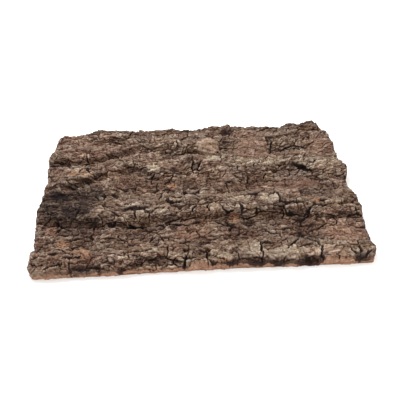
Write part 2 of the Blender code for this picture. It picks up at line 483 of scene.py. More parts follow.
# Patches where the face is little broken: centre, half sizes and strength.
CALM = (
    (28, 134, 26, 17, 1.0), (114, 120, 42, 24, 0.9), (58, 31, 17, 10, 0.8), (185, 5, 52, 14, 0.75),
    (256, -136, 44, 22, 0.6), (82, -174, 21, 13, 0.85), (132, -184, 28, 13, 0.85),
    (184, -184, 17, 10, 0.8), (234, -186, 30, 12, 0.75), (262, 118, 36, 24, 0.6),
    (-130, 126, 22, 15, 0.7), (75, -48, 21, 8, 0.6), (132, -50, 19, 11, 0.7), (-14, -126, 30, 12, 0.5),
    (-70, -70, 12, 7, 0.7), (36, 80, 16, 7, 0.6), (-243, 58, 12, 12, 0.5), (-284, -196, 14, 9, 0.6),
    (-206, -162, 10, 10, 0.7), (65, -90, 10, 6, 0.8),
)

# Blackened bark, with painted shade in dents and hollows among it, fresh orange, reddish, dull and pale
# bark: centre, half sizes and strength.
CHAR_AND_DENT_SHADE = (
    (-225, -4, 54, 20, 0.9), (-240, -32, 58, 40, 0.85), (-272, -8, 28, 24, 1.0), (-242, -60, 52, 18, 1.0),
    (-276, -40, 28, 28, 0.9), (-206, -26, 26, 34, 1.0), (-226, 36, 26, 4, 0.7), (-215, 20, 34, 12, 0.5),
    (-224, -84, 44, 14, 0.6), (-230, -100, 30, 12, 0.45), (-268, 96, 20, 6, 0.15),
    (-198, 190, 22, 9, 0.55), (180, -98, 13, 11, 0.45), (177, -137, 10, 8, 0.6), (50, -100, 12, 8, 0.35),
    (86, -98, 14, 14, 0.35), (184, -196, 19, 4, 0.5), (-92, -182, 30, 4, 0.4), (48, -199, 16, 4, 0.45),
    (86, -198, 18, 4, 0.5), (130, -198, 14, 4, 0.3), (268, -199, 4, 4, 0.9), (-200, -193, 26, 7, 0.7),
    (266, -196, 9, 8, 0.75), (215, 193, 54, 9, 0.6), (72, 172, 16, 12, 0.55), (-20, -24, 16, 8, 0.6),
    (284, 12, 14, 12, 0.55), (-12, 84, 8, 20, 0.15), (262, -92, 34, 7, 0.2), (-45, 56, 8, 10, 0.5),
    (159, 124, 6, 24, 0.25), (195, 55, 12, 4, 0.8), (104, -36, 9, 5, 0.9), (-78, 14, 5, 12, 0.6),
    (-146, 130, 10, 6, 0.4),
)
FRESH = (
    (-243, 53, 9, 8, 0.6), (-220, 54, 19, 14, 0.45), (-49, 13, 10, 10, 0.55), (61, -87, 12, 9, 0.5),
    (10, -92, 9, 6, 0.3), (218, -54, 7, 8, 0.55), (-245, -130, 13, 12, 0.4), (-206, -162, 16, 12, 0.25),
    (-268, -98, 12, 12, 0.2), (34, 134, 16, 12, 0.2), (-75, -199, 40, 4, 0.35), (-20, -118, 36, 14, 0.12),
    (20, -196, 26, 6, 0.3), (230, -196, 22, 5, 0.35), (250, -136, 30, 16, 0.15),
)
ROSY = (
    (255, -130, 46, 26, 0.9), (190, 4, 54, 14, 0.8), (-18, -120, 40, 18, 0.6), (-226, 124, 58, 10, 0.8),
    (262, 115, 34, 26, 0.8), (120, 118, 38, 22, 0.8), (30, 134, 26, 16, 0.4), (-200, 172, 40, 12, 0.6),
    (-262, -100, 16, 14, 0.7), (-215, 75, 22, 10, 0.6), (176, -73, 14, 5, 0.8), (-84, -150, 50, 12, 0.4),
    (228, -180, 30, 10, 0.7), (-130, 126, 22, 15, 0.5), (60, 31, 16, 9, 0.5), (184, -186, 15, 8, 0.6),
)
DULL = (
    (-125, 20, 46, 26, 0.9), (-25, 18, 56, 20, 0.9), (70, 2, 44, 16, 1.0), (66, -120, 38, 28, 1.0),
    (-125, -125, 52, 28, 0.45), (-215, -180, 66, 16, 0.4), (-236, -96, 62, 20, 0.7),
    (-232, 124, 56, 12, 0.6), (180, -112, 26, 34, 0.95), (110, 30, 28, 14, 0.5),
    (-20, -126, 52, 20, 0.35), (60, 172, 40, 16, 0.45), (185, 6, 56, 14, 0.3), (20, 30, 20, 22, 0.4),
    (215, 190, 50, 10, 0.5), (-88, -184, 34, 5, 0.5), (-268, 66, 24, 14, 0.6), (-205, 190, 100, 12, 0.55),
    (-40, 188, 76, 12, 0.6),
)
PALE = (
    (-116, -52, 24, 6, 0.8), (-100, -70, 26, 6, 0.6), (-70, -70, 12, 6, 0.8), (-172, -54, 9, 12, 0.7),
    (-25, -70, 16, 4, 0.5), (28, -63, 13, 6, 0.7), (60, -68, 16, 8, 0.6), (75, -48, 22, 7, 0.9),
    (132, -50, 20, 12, 1.0), (176, -58, 20, 4, 0.5), (83, -174, 22, 14, 0.65), (134, -184, 28, 12, 0.65),
    (184, -184, 17, 9, 0.7), (30, -186, 24, 10, 0.6), (-48, -176, 16, 7, 0.7), (-88, -167, 24, 4, 0.8),
    (-130, -179, 16, 5, 0.9), (252, -188, 17, 9, 0.9), (232, -172, 40, 18, 0.5), (38, 78, 22, 10, 1.0),
    (46, 50, 9, 5, 0.8), (92, 66, 38, 14, 1.0), (150, 66, 36, 12, 1.0), (208, 61, 10, 4, 0.7),
    (-138, 76, 28, 6, 0.8), (-88, 54, 16, 6, 0.8), (-244, 68, 12, 6, 0.6), (-222, 56, 20, 14, 0.8),
    (-250, 120, 18, 4, 0.5), (-200, 122, 24, 4, 0.3), (-20, 146, 28, 4, 0.6), (-62, 152, 30, 4, 0.4),
    (30, 134, 24, 15, 0.9), (120, 118, 34, 20, 0.4), (-85, -196, 40, 3, 0.6), (60, 30, 12, 8, 0.4),
    (255, -130, 40, 20, 0.35), (-284, -200, 16, 6, 0.5), (200, -82, 6, 4, 0.7), (244, 60, 52, 20, 0.9),
    (232, 120, 58, 24, 0.3), (-60, 130, 50, 18, 0.3), (-48, -42, 12, 4, 0.6), (160, 168, 40, 6, 0.3),
    (-150, -54, 12, 5, 0.5),
)


def field_of(x, y, blots, ragged=0.0):
    """The strongest of the blots at each point, with their borders broken up by ragged."""
    total = np.zeros_like(x)
    for centre_x, centre_y, half_x, half_y, strength in blots:
        shape = blot(x, y, centre_x, centre_y, half_x, half_y)
        total = np.maximum(total, strength * between(0.2, 0.65, shape + ragged * between(0.0, 0.1, shape)))
    return total


# ---------------- the outer face

ROWS_ALONG = 600
ROWS_ACROSS = 560
SURVEY_ROWS = 900
LEAST_THICKNESS = 7.0
STAND_LIFT = 0.9
OVERHANG = 0.55
CEILING_EASE = 2.0

# The face reaches its full roughness this far inside the rim.
RIM_REACH = 6.0

# The outline is nibbled inwards, and its shoulder is rounded off, within a reach of the rim.
NIBBLE = 3.2
SHOULDER = 5.0
NIBBLE_REACH = 9.0

# Length and width of the cells that the face is broken into.
PLATE = (46, 30)
CHIP = (26, 14)
CRUMB = (9.0, 6.0)
PIT = (8.0, 7.0)

LEDGE_STEP = 2.8
TREAD_STEP = 1.8
CREVICE_DEPTH = 5.5
CHIP_GAP_DEPTH = 2.3
CRUMB_GAP_DEPTH = 0.5
HAIRLINE_DEPTH = 2.2
PIT_DEPTH = 1.9


def even_rows():
    """Shares across the slab for each grid point, a fixed arc length of the smooth face apart, so that the
    steep fronts get as many rows as the flat tops. Also the arc length at each point."""
    u = np.linspace(0, 1, ROWS_ALONG + 1)
    v = np.linspace(0, 1, SURVEY_ROWS + 1)
    points, _ = sheet_points(*np.meshgrid(u, v))
    steps = np.linalg.norm(np.diff(points, axis=0), axis=2)
    length = np.concatenate([np.zeros((1, ROWS_ALONG + 1)), np.cumsum(steps, axis=0)])
    length = softened(length, 3, 0)
    target = np.linspace(0, 1, ROWS_ACROSS + 1)
    share = np.empty((ROWS_ACROSS + 1, ROWS_ALONG + 1))
    for i in range(ROWS_ALONG + 1):
        share[:, i] = np.interp(target * length[-1, i], length[:, i], v)
    arc = target[:, None] * length[-1][None, :]
    return np.broadcast_to(u, share.shape), share, arc


def face_normals(points):
    along = np.gradient(points, axis=1)
    across = np.gradient(points, axis=0)
    normal = np.cross(along, across)
    return normal / np.linalg.norm(normal, axis=2, keepdims=True)


def grown_relief(x, y, arc, crown, calm):
    """Nodules, plates, flakes, ledges and crumbs, the gaps between them, and masks of each."""
    warp_x = 5.0 * fractal(x, arc, 34, 24, 3, 101) + 3.2 * fractal(x, arc, 10, 7, 4, 111, gain=0.6)
    warp_y = 4.0 * fractal(x, arc, 38, 22, 3, 121) + 2.8 * fractal(x, arc, 10, 6, 4, 131, gain=0.6)
    along = x + warp_x
    across = arc + warp_y
    plate = cell_pattern(along, across, PLATE, 201)
    chip = cell_pattern(along, across, CHIP, 211)
    crumb = cell_pattern(x + 0.6 * warp_x, arc + 0.6 * warp_y, CRUMB, 221)
    broken = 1 - calm
    flaking = between(-0.35, 0.35, fractal(x, arc, 55, 34, 2, 311)) * (1 - 0.8 * calm)

    # Broad wear, then nodules with creases between them, then flakes and crumbs standing at odd heights.
    body = 3.4 * fractal(x, arc, 44, 22, 3, 321, gain=0.6)
    nodules = fractal(along, across, 22, 12, 3, 331, gain=0.7, shift=(5.1, 9.7), bend=billowed)
    nodules = 2.2 * (nodules - 0.42)
    nodules += terraces(5.0 * fractal(along, across, 24, 13, 3, 335, gain=0.6), TREAD_STEP, 0.28)
    plates = (plate.level - 0.5) * (3.0 + 1.6 * plate.u) + (plate.tilt - 0.5) * 3.2 * plate.v
    chips = (chip.level - 0.5) * (3.4 + 2.4 * chip.u) + (chip.tilt - 0.5) * 4.0 * chip.v
    body += (nodules + plates) * (1 - 0.85 * calm) + (0.35 + 0.65 * flaking) * chips * broken
    ledges = body + 3.0 * fractal(x, arc, 36, 10, 4, 341, gain=0.6) + 0.14 * arc
    stand = body + 0.7 * (terraces(ledges, LEDGE_STEP, 0.3) - ledges) * broken
    crumbs = (crumb.level - 0.5) * 1.3 + (crumb.tilt - 0.5) * 1.6 * crumb.v
    crumbs += 1.4 * fractal(x, arc, 6.0, 4.0, 2, 351)
    stand += crumbs * (1 - 0.5 * calm)
    stand += 0.9 * calm * fractal(x, arc, 6, 20, 4, 361, gain=0.65)

    # Crevices: long ones with the grain, short ones across the brows, and gaps between the flakes.
    grain_line = crevice(along, across, 60, 19, 401, 1.2)
    grain_line *= between(0.0, 0.35, fractal(x, arc, 38, 24, 2, 411))
    cross_line = crevice(along, across, 22, 52, 421, 1.0)
    cross_line *= between(0.05, 0.35, fractal(x, arc, 26, 26, 2, 431)) * (0.4 + 0.6 * crown)
    plate_gap = groove(plate.edge, 2.0) * between(-0.05, 0.3, fractal(x, arc, 34, 24, 2, 301))
    gap_width = 0.8 + 1.1 * between(-0.3, 0.5, fractal(x, arc, 14, 12, 2, 302))
    chip_gap = groove(chip.edge, gap_width) * (0.2 + 0.8 * flaking)
    crumb_gap = groove(crumb.edge, 0.75) * (1 - 0.8 * calm)
    hairline = crevice(along, across, 15, 12, 481, 0.75) * (1 - 0.7 * calm)
    hairline *= between(-0.1, 0.3, fractal(x, arc, 18, 14, 2, 491))
    crack = np.maximum.reduce([grain_line, 0.85 * cross_line, plate_gap]) * (1 - 0.9 * calm)
    stand -= CREVICE_DEPTH * crack + CHIP_GAP_DEPTH * chip_gap
    stand -= CRUMB_GAP_DEPTH * crumb_gap + HAIRLINE_DEPTH * hairline

    pits = cell_pattern(x, arc, PIT, 231)
    pit = groove(np.hypot(pits.u * PIT[0], pits.v * PIT[1]), 0.9 + 1.1 * pits.tilt) * (pits.level > 0.4)
    stand -= PIT_DEPTH * pit * (0.45 + 0.55 * crown)

    return stand, {
        # Painted shade in the crevices, gaps and hairlines.
        "crack": widened(np.clip(crack + 0.6 * chip_gap + 0.8 * hairline, 0, 1)),
        "plate": 0.5 + (plate.level - 0.5) * (1 - 0.6 * calm),
        "hue": plate.tilt,
        "chip": 0.5 + (chip.level - 0.5) * (1 - 0.8 * calm),
        "crumb": 0.5 + (crumb.level - 0.5) * (1 - 0.3 * calm),
    }


def placed_relief(x, y):
    """The cracks, hollows, curls and knob of this piece, with ragged borders, and masks of each."""
    ragged_x = x + 3.2 * fractal(x, y, 11, 10, 3, 441) + 1.0 * fractal(x, y, 4, 4, 2, 443)
    ragged_y = y + 3.0 * fractal(x, y, 11, 10, 3, 451) + 1.0 * fractal(x, y, 4, 4, 2, 453)
    gape = 0.9 + 0.5 * fractal(x, y, 8, 8, 2, 461)
    stand = np.zeros_like(x)
    gash_shade_mask = np.zeros_like(x)
    for half_width, depth, *path in CRACKS:
        distance, share = distance_to_path(ragged_x, ragged_y, path)
        taper = np.sqrt(np.sin(math.pi * np.clip(share, 0.02, 0.98)))
        opening = gash(distance, half_width * taper * gape + 0.2)
        stand -= depth * taper * opening
        # Where shade is painted into the placed cracks.
        gash_shade_mask = np.maximum(gash_shade_mask, between(0.0, 0.35, opening))

    # Painted shade in the worn hollows.
    hollow_shade = np.zeros_like(x)
    for centre_x, centre_y, half_x, half_y, depth in HOLLOWS:
        dent = blot(ragged_x, ragged_y, centre_x, centre_y, half_x, half_y)
        stand -= depth * dent
        hollow_shade = np.maximum(hollow_shade, dent)

    fresh = np.zeros_like(x)
    for half_width, height, freshness, *path in CURLS:
        distance, share = distance_to_path((ragged_x + x) / 2, (ragged_y + y) / 2, path)
        lip = gash(distance, half_width) * np.sqrt(np.sin(math.pi * np.clip(share, 0.03, 0.97)))
        stand += height * lip
        fresh = np.maximum(fresh, freshness * lip)

    centre_x, centre_y, radius = KNOB
    from_knob = np.hypot(x - centre_x, (y - centre_y) * 1.1)
    ring = groove(np.abs(from_knob - radius), KNOB_RING_WIDTH)
    stand += KNOB_RING_HEIGHT * ring - KNOB_DEPTH * groove(from_knob, radius)
    return stand, {"gash": widened(gash_shade_mask), "fresh": fresh, "hollow_shade": hollow_shade}


def height_masks(height, normal, stand):
    """What stands proud or lies deep, at three scales, and how steep the fronts are: masks for a painted
    highlight on what stands proud, painted shade in what lies deep, and painted shade with a darker brown
    on steep fronts.
    """
    return {
        "near": np.clip((stand - softened(stand, 2, 2)) / 0.8, -1, 1),
        "mid": np.clip((stand - softened(stand, 7, 7)) / 2.6, -1, 1),
        "wide": np.clip((height - softened(height, 24, 24)) / 7.0, -1, 1),
        "wall_brown_and_shade": between(0.15, 0.6, 1 - normal[..., 2]),
    }


def patch_masks(x, y):
    """Where the bark is blackened, where shade is painted in dents and round deep cracks, and where it is
    reddish, pale, dull or fresh.
    """
    patch_x = x + 7 * fractal(x, y, 26, 20, 4, 501)
    patch_y = y + 6 * fractal(x, y, 26, 20, 4, 511)
    halfway = (patch_x + x) / 2, (patch_y + y) / 2
    mottle = 0.22 * fractal(x, y, 12, 10, 3, 541)
    char_and_shade = field_of(patch_x, patch_y, CHAR_AND_DENT_SHADE, 2 * mottle)
    # Painted shade round the deepest cracks, added to the blackening.
    for half_width, strength, *path in CRACK_SHADES:
        distance, _ = distance_to_path(*halfway, path)
        char_and_shade = np.maximum(char_and_shade, strength * groove(distance, half_width))
    return {
        "char_and_shade": char_and_shade,
        "rosy": field_of(patch_x, patch_y, ROSY, 2 * mottle),
        "pale": field_of(*halfway, PALE, 2 * mottle),
        "dull": field_of(patch_x, patch_y, DULL, 2 * mottle),
        "fresh": field_of(0.7 * x + 0.3 * patch_x, 0.7 * y + 0.3 * patch_y, FRESH, mottle),
    }


def outer_face():
    """The rough face's points, with a mask for each thing that its material shows, and its grid shares."""
    u, v, arc = even_rows()
    smooth, crown = sheet_points(u, v)
    x, y, height = np.moveaxis(smooth, -1, 0)
    normal = face_normals(softened(smooth, 4, 6))
    calm_x = x + 5 * fractal(x, y, 22, 18, 3, 521)
    calm_y = y + 4 * fractal(x, y, 22, 18, 3, 531)
    calm = field_of(calm_x, calm_y, CALM)
    grown, grown_masks = grown_relief(x, y, arc, crown, calm)
    placed_stand, placed_masks = placed_relief(x, y)
    stand = grown + placed_stand + STAND_LIFT

    # The rim itself is only lowered and raised; a little way in the face stands off along its normal.
    edge = np.minimum.reduce([u * ROWS_ALONG, (1 - u) * ROWS_ALONG, arc, arc[-1] - arc])
    inside = smoothstep(edge / RIM_REACH)
    points = smooth + normal * stand[..., None] * np.stack([inside, inside, np.ones_like(inside)], axis=-1)

    # Brows overhang a little, and the outline is nibbled inwards.
    lifted = height - softened(height, 6, 14)
    points[..., 1] -= OVERHANG * np.maximum(lifted, 0) * inside
    nibble = NIBBLE * np.maximum(0.25 + fractal(x, y, 15, 15, 3, 471, gain=0.6), 0)
    for axis, share, span in ((0, u, HALF_LENGTH), (1, v, HALF_WIDTH)):
        reach = 1 - smoothstep((1 - np.abs(2 * share - 1)) * span / NIBBLE_REACH)
        points[..., axis] -= np.sign(share - 0.5) * nibble * reach
        shoulder = SHOULDER * (0.55 + 0.9 * fractal(x, y, 30, 30, 3, 472 + axis))
        points[..., 2] -= np.maximum(shoulder, 0.5) * reach**2
    points[..., 2] = np.maximum(points[..., 2], LEAST_THICKNESS + 0.3 * stand)

    # The outline is fitted to the CAD part's, and the highest crests are eased down under its own.
    low = points.min(axis=(0, 1))
    high = points.max(axis=(0, 1))
    points[..., :2] = (points[..., :2] - (low + high)[:2] / 2) * SIZE[:2] / (high - low)[:2]
    ceiling = SIZE[2] - CEILING_EASE
    over = np.maximum(points[..., 2] - ceiling, 0)
    points[..., 2] = np.minimum(points[..., 2], ceiling) + CEILING_EASE * (1 - np.exp(-over / CEILING_EASE))

    patches = patch_masks(x, y)
    masks = {"calm": calm, **grown_masks, **placed_masks, **height_masks(height, normal, stand), **patches}
    masks["fresh"] = np.maximum(placed_masks["fresh"], patches["fresh"])
    return points, masks, u, v


# ---------------- the closed mesh of the slab


# Rows down the sides, and how many steps of the outer face's grid one step of the underside's takes.
WALL_ROWS = 22
UNDERSIDE_SHARE = 4
SIDE_LUMP = (8, 5)
SIDE_PORE = (7, 4)
LENTICEL = (16, 9)

# How deep the dark crust reaches down the sawn sides: (x, depth) along the front, and elsewhere. The front
# is what stands within a band of the front edge.
FRONT_CRUST = (
    (-300, 7), (-240, 9), (-150, 7), (-125, 1), (-60, 1), (-45, 3), (-15, 1), (28, 1), (45, 8),
    (100, 9), (150, 8), (168, 12), (198, 12), (210, 1), (252, 1), (262, 10), (276, 9), (300, 9),
)
OTHER_CRUST = 9.0
FRONT_BAND = 6.0

# The outer face's masks fade out over this depth down the sides.
MASK_DEPTH = 11.0

# The bake map: where each part of the surface lies in the unit square.
MAP_MARGIN = 0.004
MAP_TOP = (0.0, 0.0, 1.0, 0.66)
MAP_UNDER = (0.0, 0.665, 0.5, 1.0)
MAP_SIDES = (0.505, 0.67, 1.0, 1.0)
STRIP_MARGIN = 0.02
STRIP_HEIGHT = 0.21


def rim_indices(rows, columns):
    """Indices of a grid's outer points in order, anticlockwise from above."""
    grid = np.arange(rows * columns).reshape(rows, columns)
    return np.concatenate([grid[0, :-1], grid[:-1, -1], grid[-1, :0:-1], grid[:0:-1, 0]])


def grid_quads(rows, columns):
    grid = np.arange(rows * columns).reshape(rows, columns)
    return np.stack([grid[:-1, :-1], grid[:-1, 1:], grid[1:, 1:], grid[1:, :-1]], axis=-1).reshape(-1, 4)


def sawn_sides(rim):
    """Rows of points down the sawn sides, from just under the rim to the flat face, crumbled inwards."""
    along = np.concatenate([[0], np.cumsum(np.linalg.norm(np.diff(rim[:, :2], axis=0), axis=1))])
    outward = np.roll(rim[:, :2], -3, axis=0) - np.roll(rim[:, :2], 3, axis=0)
    outward = np.stack([outward[:, 1], -outward[:, 0]], axis=1)
    outward /= np.linalg.norm(outward, axis=1, keepdims=True)
    levels = 1 - (np.arange(1, WALL_ROWS + 1) / WALL_ROWS)
    height = rim[None, :, 2] * levels[:, None]
    place = np.broadcast_to(along, height.shape)
    rough = 1.1 * fractal(place, height, 13, 8, 4, 601, gain=0.6)
    rough += 0.5 * fractal(place, height, 45, 2.0, 2, 611)
    lumps = cell_pattern(place + 2 * rough, height, SIDE_LUMP, 621)
    seam = groove(lumps.edge, 0.9)
    pores = cell_pattern(place, height, SIDE_PORE, 631)
    from_pore = np.hypot(pores.u * SIDE_PORE[0] * 1.6, pores.v * SIDE_PORE[1] * 0.7)
    pore = groove(from_pore, 0.8) * (pores.level > 0.55)
    inwards = 1.2 + 1.3 * rough + 1.4 * (lumps.level - 0.5) + 0.9 * seam + 1.4 * pore
    inwards = np.maximum(inwards, 0) * smoothstep((1 - levels) * 5)[:, None]
    points = np.empty(height.shape + (3,))
    points[..., :2] = rim[None, :, :2] - outward[None] * inwards[..., None]
    points[..., 2] = height
    return points, np.clip(pore + 0.5 * seam * (lumps.tilt > 0.4), 0, 1)


def underside_grid():
    """Coarse grid of the flat inner face, with shallow grain and lenticels cut upwards inside its rim."""
    u = np.linspace(0, 1, ROWS_ALONG // UNDERSIDE_SHARE + 1)
    v = np.linspace(0, 1, ROWS_ACROSS // UNDERSIDE_SHARE + 1)
    u, v = np.meshgrid(u, v)
    smooth, _ = sheet_points(u, v)
    x, y = smooth[..., 0], smooth[..., 1]
    pits = cell_pattern(x, y, LENTICEL, 711)
    pit = groove(np.hypot(pits.u * LENTICEL[0] * 0.5, pits.v * LENTICEL[1]), 2.4) * (pits.level > 0.5)
    rise = 0.5 * np.maximum(fractal(x, y, 90, 9, 4, 701), 0) + 0.9 * pit
    rise *= smoothstep(np.minimum.reduce([u, 1 - u, v, 1 - v]) * 30)
    return np.stack([x, y, rise], axis=-1), pit


def stitched(quads, rim):
    """The underside's coarse quads, with the finer rim's points put in between their corners."""
    finer = {}
    for k in range(0, len(rim), UNDERSIDE_SHARE):
        first, *extra = rim[k:k + UNDERSIDE_SHARE]
        end = rim[(k + UNDERSIDE_SHARE) % len(rim)]
        finer[first, end] = extra
        finer[end, first] = extra[::-1]
    faces = []
    for quad in quads:
        faces.append([])
        for corner, following in zip(quad, quad[1:] + quad[:1]):
            faces[-1] += [corner, *finer.get((corner, following), ())]
    return faces


def store_masks(mesh, masks, rim, sides, side_pores, under_pits):
    """One number of each mask for each point: on the outer face, on the sides and on the underside."""

    def store(name, on_face, on_sides, on_underside=0.0):
        places = (masks["calm"].shape, sides.shape[:2], under_pits.shape)
        parts = (on_face, on_sides, on_underside)
        values = [np.broadcast_to(part, shape).ravel() for part, shape in zip(parts, places)]
        attribute = mesh.attributes.new(name, "FLOAT", "POINT")
        attribute.data.foreach_set("value", np.concatenate(values).astype(np.float32))

    depth = rim[:, 2] - sides[..., 2]
    fading = 1 - smoothstep((depth - 0.4 * MASK_DEPTH) / MASK_DEPTH)
    around = rim_indices(*masks["calm"].shape)
    for name, field in masks.items():
        store(name, field, softened(field.reshape(-1)[around][None], 4, 0) * fading)
    store("depth", 0.0, depth)
    front_crust = along_track(sides[..., 0], FRONT_CRUST, 1)
    crust = np.where(sides[..., 1] < FRONT_BAND - HALF_WIDTH, front_crust, OTHER_CRUST)
    store("crust", OTHER_CRUST, crust, OTHER_CRUST)
    store("sawn", 0.0, 1.0)
    store("pore", 0.0, side_pores, under_pits)
    lowest = np.arange(WALL_ROWS) == WALL_ROWS - 1
    store("belly", 0.0, lowest[:, None], 1.0)


def placed(u, v, box):
    """u and v from 0 to 1, laid in a box of the bake map with its margin kept."""
    low_u, low_v, high_u, high_v = box
    width = high_u - low_u - 2 * MAP_MARGIN
    height = high_v - low_v - 2 * MAP_MARGIN
    return np.stack([low_u + MAP_MARGIN + u * width, low_v + MAP_MARGIN + v * height], axis=-1)


def side_map():
    """Bake-map places of the sawn sides' corners: a strip for each side, one above the other."""
    spans = (ROWS_ALONG, ROWS_ACROSS, ROWS_ALONG, ROWS_ACROSS)
    strip = np.repeat(np.arange(4), spans) / 4 + STRIP_MARGIN
    near = np.concatenate([np.arange(span) / span for span in spans])
    far = near + np.repeat([1 / span for span in spans], spans)
    places = []
    for row in range(WALL_ROWS):
        upper = strip + (1 - row / WALL_ROWS) * STRIP_HEIGHT
        lower = strip + (1 - (row + 1) / WALL_ROWS) * STRIP_HEIGHT
        across = np.stack([near, near, far, far], axis=1)
        up = np.stack([upper, lower, lower, upper], axis=1)
        places.append(placed(across, up, MAP_SIDES).reshape(-1, 2))
    return np.concatenate(places)


def build_slab():
    top, masks, u, v = outer_face()
    around = rim_indices(*u.shape)
    rim = top.reshape(-1, 3)[around]
    sides, side_pores = sawn_sides(rim)
    under, under_pits = underside_grid()
    under_rim = rim_indices(*under_pits.shape)
    is_inner = np.ones(under_pits.size, bool)
    is_inner[under_rim] = False

    # Points: the outer face, the sides row by row, then the underside's inner ones. The underside's rim is
    # the lowest row of the sides.
    points = np.concatenate([top.reshape(-1, 3), sides.reshape(-1, 3), under.reshape(-1, 3)[is_inner]])
    ring = [around, *(u.size + np.arange(side_pores.size).reshape(side_pores.shape))]
    coarse = np.empty(under_pits.size, int)
    coarse[is_inner] = u.size + side_pores.size + np.arange(is_inner.sum())
    coarse[under_rim] = ring[-1][::UNDERSIDE_SHARE]

    top_faces = grid_quads(*u.shape)
    side_faces = [
        np.stack([upper, lower, np.roll(lower, -1), np.roll(upper, -1)], axis=1)
        for upper, lower in zip(ring, ring[1:])
    ]
    under_quads = coarse[grid_quads(*under_pits.shape)][:, ::-1]
    under_faces = stitched(under_quads.tolist(), ring[-1].tolist())
    mesh = bpy.data.meshes.new("cork_bark_slab")
    faces = top_faces.tolist() + np.concatenate(side_faces).tolist() + under_faces
    mesh.from_pydata((points * MM).tolist(), [], faces)
    store_masks(mesh, masks, rim, sides, side_pores, under_pits.reshape(-1)[is_inner])

    top_map = placed(u, v, MAP_TOP).reshape(-1, 2)[top_faces.reshape(-1)]
    flat = (points[:, :2] / SIZE[:2] + 0.5)[np.concatenate(under_faces)]
    under_map = placed(flat[:, 0], flat[:, 1], MAP_UNDER)
    layer = mesh.uv_layers.new(name="OFBake", do_init=False)
    whole_map = np.concatenate([top_map, side_map(), under_map])
    layer.uv.foreach_set("vector", whole_map.astype(np.float32).ravel())
    mesh.shade_smooth()
    mesh.update()
    slab = bpy.data.objects.new("cork_bark_slab", mesh)
    bpy.context.scene.collection.objects.link(slab)
    return slab


# ---------------- material


def srgb(red, green, blue):
    """A shader colour from the 0 to 255 values that a screen shows."""
    def linear(value):
        share = value / 255
        return share / 12.92 if share <= 0.04045 else ((share + 0.055) / 1.055) ** 2.4
    return (linear(red), linear(green), linear(blue), 1.0)


class Nodes:
    """Short ways to make and link the nodes of one material. A mask is given by its name."""

    def __init__(self, material):
        material.use_nodes = True
        self.tree = material.node_tree
        self.tree.nodes.clear()

    def new(self, kind, **settings):
        node = self.tree.nodes.new(kind)
        for name, value in settings.items():
            setattr(node, name, value)
        return node

    def feed(self, socket, value):
        if isinstance(value, str):
            value = self.new("ShaderNodeAttribute", attribute_name=value).outputs["Fac"]
        if isinstance(value, bpy.types.NodeSocket):
            self.tree.links.new(value, socket)
        else:
            socket.default_value = value

    def math(self, operation, a, b, clamp=False):
        node = self.new("ShaderNodeMath", operation=operation, use_clamp=clamp)
        self.feed(node.inputs[0], a)
        self.feed(node.inputs[1], b)
        return node.outputs[0]

    def span(self, value, low, high, to_low=0.0, to_high=1.0):
        node = self.new("ShaderNodeMapRange", clamp=True)
        self.feed(node.inputs["Value"], value)
        node.inputs["From Min"].default_value = low
        node.inputs["From Max"].default_value = high
        node.inputs["To Min"].default_value = to_low
        node.inputs["To Max"].default_value = to_high
        return node.outputs[0]

    def centred(self, value):
        return self.math("SUBTRACT", value, 0.5)

    def weighted(self, start, *terms):
        """start plus each value times its weight."""
        total = start
        for value, weight in terms:
            node = self.new("ShaderNodeMath", operation="MULTIPLY_ADD")
            self.feed(node.inputs[0], value)
            node.inputs[1].default_value = weight
            self.feed(node.inputs[2], total)
            total = node.outputs[0]
        return total

    def ramp(self, value, stops):
        node = self.new("ShaderNodeValToRGB")
        self.feed(node.inputs[0], value)
        elements = node.color_ramp.elements
        while len(elements) < len(stops):
            elements.new(0.5)
        for element, (place, colour) in zip(elements, stops):
            element.position = place
            element.color = colour
        return node.outputs[0]

    def noise(self, scale, detail, stretch=(1, 1, 1)):
        place = self.new("ShaderNodeTexCoord").outputs["Object"]
        mapping = self.new("ShaderNodeMapping")
        self.tree.links.new(place, mapping.inputs["Vector"])
        mapping.inputs["Scale"].default_value = stretch
        node = self.new("ShaderNodeTexNoise")
        self.tree.links.new(mapping.outputs[0], node.inputs["Vector"])
        node.inputs["Scale"].default_value = scale
        node.inputs["Detail"].default_value = detail
        node.inputs["Roughness"].default_value = 0.55
        return node.outputs["Fac"]

    def blend(self, factor, a, b, mode="MIX"):
        node = self.new("ShaderNodeMix", data_type="RGBA", blend_type=mode)
        self.feed(node.inputs[0], factor)
        self.feed(node.inputs[6], a)
        self.feed(node.inputs[7], b)
        return node.outputs[2]


TONES = (
    (0.00, srgb(32, 15, 8)),
    (0.22, srgb(61, 39, 28)),
    (0.45, srgb(91, 71, 59)),
    (0.65, srgb(115, 96, 83)),
    (0.85, srgb(146, 130, 117)),
    (1.00, srgb(170, 156, 143)),
)
GREY = (0.95, 1.0, 1.03, 1.0)
ROSE = (1.11, 0.95, 0.89, 1.0)
SANDY = (1.02, 1.01, 0.91, 1.0)
KHAKI = (0.99, 1.005, 0.92, 1.0)
# Multiplies blackened bark, and the painted shade in dents and round deep cracks.
SOOT_AND_SHADE = (0.16, 0.12, 0.11, 1.0)
ORANGE = srgb(162, 116, 85)
SAWN_CORK = srgb(169, 134, 111)
SAWN_DARK = srgb(120, 84, 64)
# Painted shade in the placed cracks, and the dark of pores and lenticels.
GASH_SHADE_AND_PORE_DARK = srgb(30, 16, 11)
BELLY = srgb(150, 112, 84)


Noises = namedtuple("Noises", "blotches patches streaks speckle grit")


